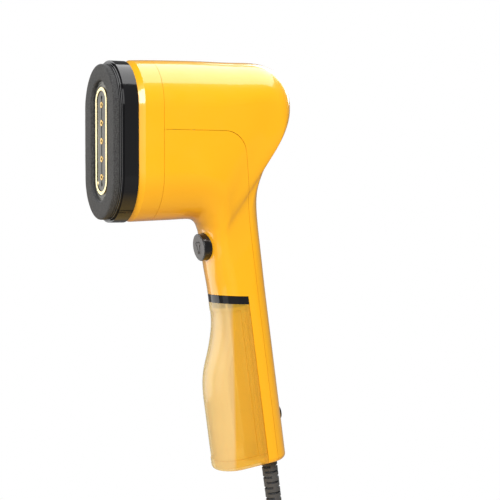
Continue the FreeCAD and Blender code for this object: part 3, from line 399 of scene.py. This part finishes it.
finishes = {"tank_amber": amber_plastic(), "pad_textile": pad_cloth()}
for make, table in ((moulded, MOULDED), (metal, METALS)):
    for name, (*values, extras) in table.items():
        finishes[name] = make(name, *values, **extras)

for part in frame["record"]["subparts"]:
    mesh = nodes[part["node"]].data
    mesh.materials.clear()
    mesh.materials.append(finishes[part["material_slot"]])
nodes["suction_tube"].data.materials[0] = finishes["tank_amber"]


# ---- free cord -------------------------------------------------------------
def fold(radius, centre_z, turn_from, y0, y1):
    """Half a turn of cord round a fold of the hank; y goes from y0 to y1."""
    stand_off = radius / math.cos(math.pi / FOLD_STEPS / 2)
    made = []
    for i in range(FOLD_STEPS + 1):
        angle = turn_from + math.pi * i / FOLD_STEPS
        reach = radius if i in (0, FOLD_STEPS) else stand_off
        y = y0 + (y1 - y0) * i / FOLD_STEPS
        made.append((reach * math.cos(angle), y, centre_z - reach * math.sin(angle)))
    return made


def cord_route():
    """Lead, then the hank's outer turns to the back and its inner turns to the front, then tail."""
    first = HANK_LAYERS[0]
    stack = [(HANK_OUTER, y) for y in HANK_LAYERS]
    stack += [(HANK_INNER, y) for y in reversed(HANK_LAYERS[1:])]
    after = stack[1:] + [(HANK_INNER, first)]
    turns = [(HANK_OUTER, first, HANK_TOP)]
    for (radius, y), (next_radius, next_y) in zip(stack, after):
        turns += fold(radius, HANK_FOOT, 0.0, y, y)
        top = fold(radius, HANK_TOP, math.pi, y, next_y)
        for i, (x, fold_y, z) in enumerate(top):
            share = i / (len(top) - 1)
            turns.append((x - (radius - next_radius) * share, fold_y, z))
    return [CORD_EXIT] + CORD_LEAD + turns + CORD_TAIL


cord_curve = bpy.data.curves.new("supply_cord", "CURVE")
cord_curve.dimensions = "3D"
cord_curve.bevel_depth = CORD_DIAMETER / 2
cord_curve.bevel_resolution = 5
cord_curve.use_fill_caps = True
spline = cord_curve.splines.new("NURBS")
route = cord_route()
spline.points.add(len(route) - 1)
for control, place in zip(spline.points, route):
    control.co = (*place, 1.0)
spline.order_u = 3
spline.use_endpoint_u = True
spline.resolution_u = 8
supply_cord = add_object("supply_cord", cord_curve)
cord_curve.materials.append(finishes["cord_black"])
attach(supply_cord, "housing")
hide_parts("cord_lead", "cord_hank", "cord_tail")


# ---- steaming pad ----------------------------------------------------------
pad_low, pad_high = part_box("steam_pad")
pad_half, pad_rise = (pad_high.x - pad_low.x) / 2, (pad_high.z - pad_low.z) / 2
pad_middle_z = (pad_low.z + pad_high.z) / 2
pad_thick = pad_high.y - pad_low.y


def pad_outer(start, way):
    """Where a ray from start along way leaves the pad's outline, both (x, z)."""
    low, high = 0.0, RAY_REACH
    for _ in range(RAY_HALVINGS):
        middle = (low + high) / 2
        x, z = start[0] + way[0] * middle, start[1] + way[1] * middle
        past = max(abs(z) - (pad_rise - PAD_END), 0.0) / PAD_END
        inside = (x / pad_half) ** 2 + past**2 < 1
        low, high = (middle, high) if inside else (low, middle)
    return start[0] + way[0] * low, start[1] + way[1] * low


def pad_rays():
    """Pairs (point on the hole's edge, outward direction), once round the hole."""
    rays = []
    rise = HOLE_RISE - HOLE_HALF
    shift = HOLE_MIDDLE_Z - pad_middle_z
    for side in (1, -1):
        for i in range(PAD_SIDE_STEPS):
            z = side * rise * (1 - 2 * i / PAD_SIDE_STEPS)
            rays.append(((side * HOLE_HALF, z + shift), (side, 0.0)))
        for i in range(PAD_END_STEPS):
            angle = math.pi * i / PAD_END_STEPS
            way = (side * math.cos(angle), -side * math.sin(angle))
            rays.append((
                (way[0] * HOLE_HALF, -side * rise + way[1] * HOLE_HALF + shift), way,
            ))
    return rays


def pad_section():
    """Section of the ring as (share of its width from the hole, share of its thickness)."""
    section = []
    for i in range(SECTION_STEPS):
        angle = 2 * math.pi * i / SECTION_STEPS
        c, s = math.cos(angle), math.sin(angle)
        across = 0.5 - 0.5 * math.copysign(abs(c) ** ACROSS_POWER, c)
        if s >= 0:
            deep = BACK_SHARE + (1 - BACK_SHARE) * abs(s) ** FRONT_POWER
        else:
            deep = BACK_SHARE - BACK_SHARE * abs(s) ** BACK_POWER
        section.append((across, deep))
    return section


bm = bmesh.new()
rings = []
for start, way in pad_rays():
    far = pad_outer(start, way)
    ring = []
    for across, deep in pad_section():
        x = start[0] + (far[0] - start[0]) * across
        z = start[1] + (far[1] - start[1]) * across + pad_middle_z
        y = pad_high.y - pad_thick * deep
        nap = noise.noise(Vector((x, y, z)) * NAP_SCALE) * NAP_HEIGHT
        lump = noise.noise(Vector((x, y, z)) * LUMP_SCALE) * LUMP_HEIGHT
        front = max(deep - BACK_SHARE, 0.0)
        ring.append(bm.verts.new((x, y - (nap + lump) * front + NAP_ROOM, z)))
    rings.append(ring)
for a, b in zip(rings, rings[1:] + rings[:1]):
    for i in range(len(a)):
        j = (i + 1) % len(a)
        bm.faces.new((a[i], a[j], b[j], b[i]))
textile_pad = mesh_object("textile_pad", bm, smooth=True)
textile_pad.data.materials.append(finishes["pad_textile"])
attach(textile_pad, "pad")
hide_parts("steam_pad")


# ---- raised details --------------------------------------------------------
def tubes(name, lines, radius, finish, body):
    """Fine raised lines as one mesh; each is (points, closed)."""
    curve = bpy.data.curves.new(name, "CURVE")
    curve.dimensions = "3D"
    curve.bevel_depth = radius
    curve.bevel_resolution = 3
    curve.use_fill_caps = True
    for points, closed in lines:
        poly = curve.splines.new("POLY")
        poly.points.add(len(points) - 1)
        for control, place in zip(poly.points, points):
            control.co = (*place, 1.0)
        poly.use_cyclic_u = closed
    drawn = add_object(name + "_line", curve)
    bpy.context.view_layer.update()
    mesh = bpy.data.meshes.new_from_object(
        drawn.evaluated_get(bpy.context.evaluated_depsgraph_get())
    )
    bpy.data.objects.remove(drawn)
    for polygon in mesh.polygons:
        polygon.use_smooth = True
    mesh.materials.clear()
    mesh.materials.append(finishes[finish])
    made = add_object(name, mesh)
    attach(made, body)


def on_button(places):
    """Points in millimetres on the button's face, as seen from the front."""
    return [handle_point(x / 1000, ICON_T, ICON_Z + z / 1000) for x, z in places]


def wisp(x):
    return [
        (x + WISP_SWING * math.sin(i * WISP_TURN), WISP_TOP - WISP_STEP * i)
        for i in range(WISP_POINTS)
    ]


icon = [(on_button(SHIRT), True)] + [(on_button(wisp(x)), False) for x in WISP_PLACES]
tubes("button_icon", icon, ICON_RADIUS, "black_satin", "trigger")

bezel_low, bezel_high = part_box("head_bezel")


def bezel_line(inset, y):
    """The bezel's outline drawn in by inset: straight sides and half-elliptic ends."""
    half = bezel_high.x - inset
    end = BEZEL_END - inset
    middle = (bezel_low.z + bezel_high.z) / 2
    side = (bezel_high.z - bezel_low.z) / 2 - inset - end
    line = []
    for way in (1, -1):
        for i in range(BEZEL_END_STEPS + 1):
            angle = math.pi * i / BEZEL_END_STEPS
            line.append((
                way * half * math.cos(angle), y, middle + way * (side + end * math.sin(angle)),
            ))
    return line


# Grey tubes that paint the highlights on the ring's front edges
highlight_lines = [(bezel_line(inset, y), True) for inset, y in BEZEL_HIGHLIGHT_LINES]
tubes("bezel_painted_highlights", highlight_lines, BEZEL_HIGHLIGHT_RADIUS, "button_grey", "housing")

ribs = []
for side in (1, -1):
    for i in range(RIB_COUNT):
        t = RIB_FIRST_T + RIB_PITCH * i
        ribs.append(([handle_point(side * RIB_X, t, z) for z in (RIB_TOP, RIB_FOOT)], False))
tubes("tank_ribs", ribs, RIB_RADIUS, "tank_amber", "tank")


# ---- springs ---------------------------------------------------------------
def soft_spring(name, node):
    """A copy of a spring part's mesh, carried by the housing in the part's place."""
    made = add_object(name, nodes[node].data.copy())
    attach(made, "housing")
    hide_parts(node)
    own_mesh(made)


soft_spring(
    "button_coil", "trigger_spring",
)
soft_spring("piston_coil", "pump_spring")


# ---- camera and studio -----------------------------------------------------
camera_data = bpy.data.cameras.new("camera")
camera_data.sensor_width = CAMERA_SENSOR
camera_data.lens = CAMERA_LENS
camera = add_object("camera", camera_data)
camera.location = CAMERA_PLACE
face_along(camera, Vector((
    -math.sin(VIEW_AZIMUTH) * math.cos(VIEW_ELEVATION),
    math.cos(VIEW_AZIMUTH) * math.cos(VIEW_ELEVATION),
    -math.sin(VIEW_ELEVATION),
)))
scene.camera = camera

bm = bmesh.new()
bmesh.ops.create_circle(bm, cap_ends=True, segments=FLOOR_SIDES, radius=FLOOR_RADIUS)
floor = mesh_object("floor", bm, smooth=False)
floor.location = (0, 0, cad_low.z - FLOOR_GAP)
floor.data.materials.append(floor_paper())

world = bpy.data.worlds.new("studio")
world.use_nodes = True
sky = world.node_tree
backdrop = sky.nodes["Background"]
backdrop.inputs["Color"].default_value = (1, 1, 1, 1)
ray = sky.nodes.new("ShaderNodeLightPath")
level = sky.nodes.new("ShaderNodeMapRange")
level.inputs["To Min"].default_value = SKY_LIGHT
sky.links.new(ray.outputs["Is Camera Ray"], level.inputs["Value"])
sky.links.new(level.outputs["Result"], backdrop.inputs["Strength"])
scene.world = world
scene.view_settings.view_transform = "Standard"

for name, place, aim, width, height, watts in LIGHTS:
    lamp = bpy.data.lights.new(name, "AREA")
    lamp.shape = "RECTANGLE"
    lamp.size, lamp.size_y = width, height
    lamp.energy = watts
    light = add_object(name, lamp)
    light.location = place
    face_along(light, Vector(aim) - Vector(place))
